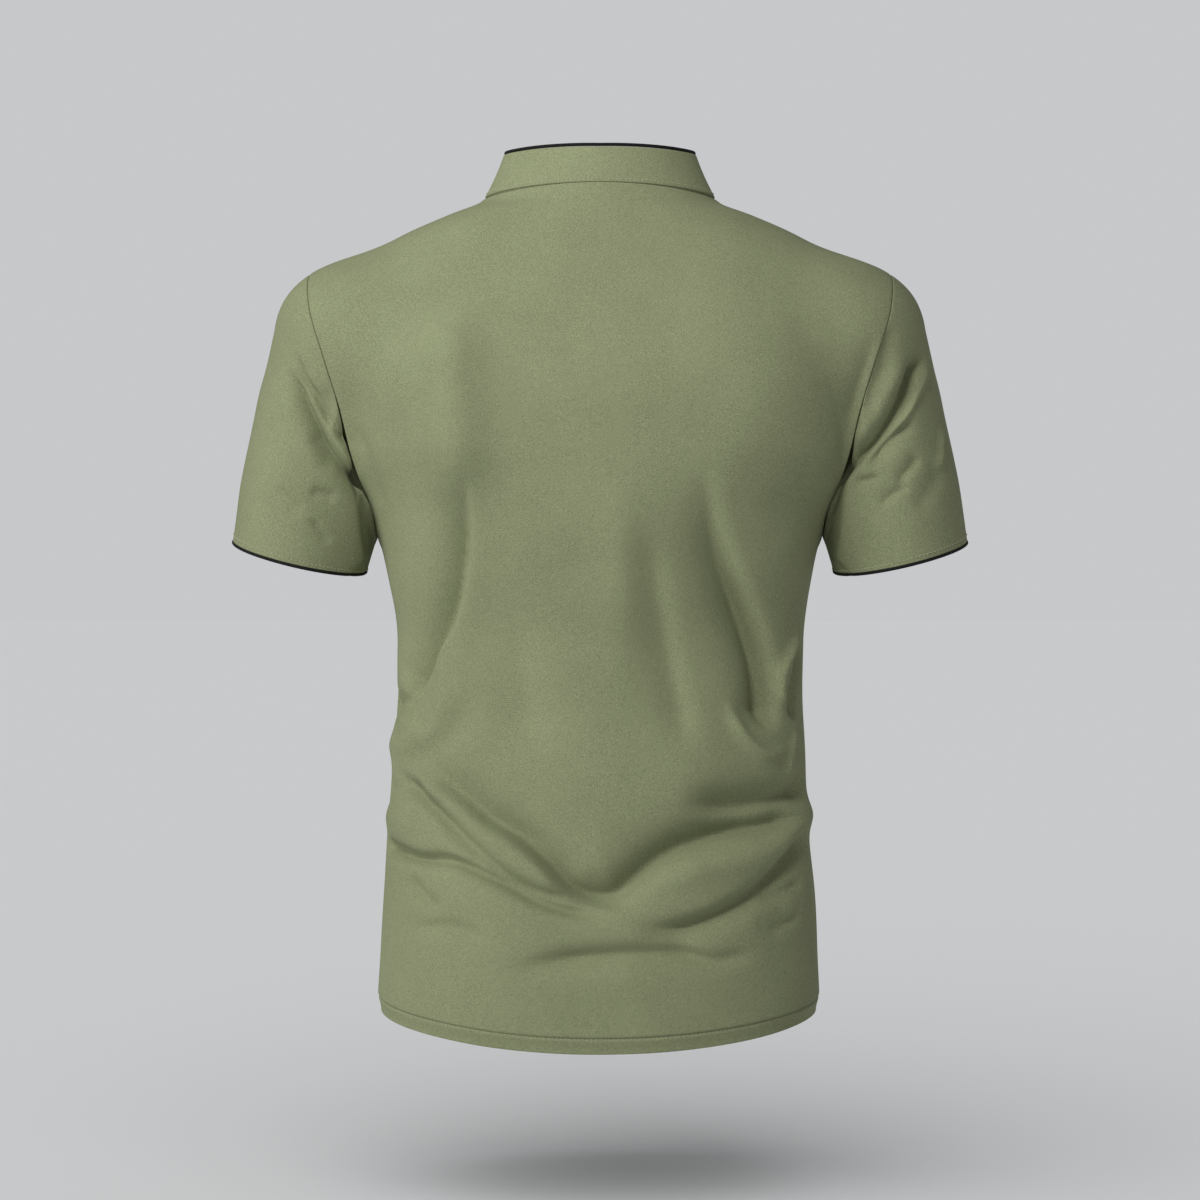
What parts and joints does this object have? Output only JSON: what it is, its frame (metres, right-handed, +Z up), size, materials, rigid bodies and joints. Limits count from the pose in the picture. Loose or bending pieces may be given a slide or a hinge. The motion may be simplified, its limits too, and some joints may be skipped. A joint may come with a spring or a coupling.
{
  "type": "polo shirt",
  "caption": "Short-sleeved knit polo shirt with a band collar, a short button placket and black piping, worn shape with open neck, hem and cuffs.",
  "frame": {"origin": "middle of the neck opening, at the height where the shoulder seams meet the collar", "axes": "+Z up, -Y the shirt's front, +X the wearer's left"},
  "size_m": [0.59, 0.2581, 0.7027],
  "materials": {
    "olive_knit": "matt fine knit, olive green",
    "black_piping": "matt black woven piping",
    "button_plastic": "satin, near black"
  },
  "bodies": {
    "root": {"back": "olive_knit", "front": "olive_knit", "sleeve_left": "olive_knit", "sleeve_right": "olive_knit", "collar": "olive_knit", "placket": "olive_knit", "collar_piping": "black_piping", "sleeve_piping_left": "black_piping", "sleeve_piping_right": "black_piping", "button_1": "button_plastic", "button_2": "button_plastic", "button_3": "button_plastic"}
  },
  "joints": []
}
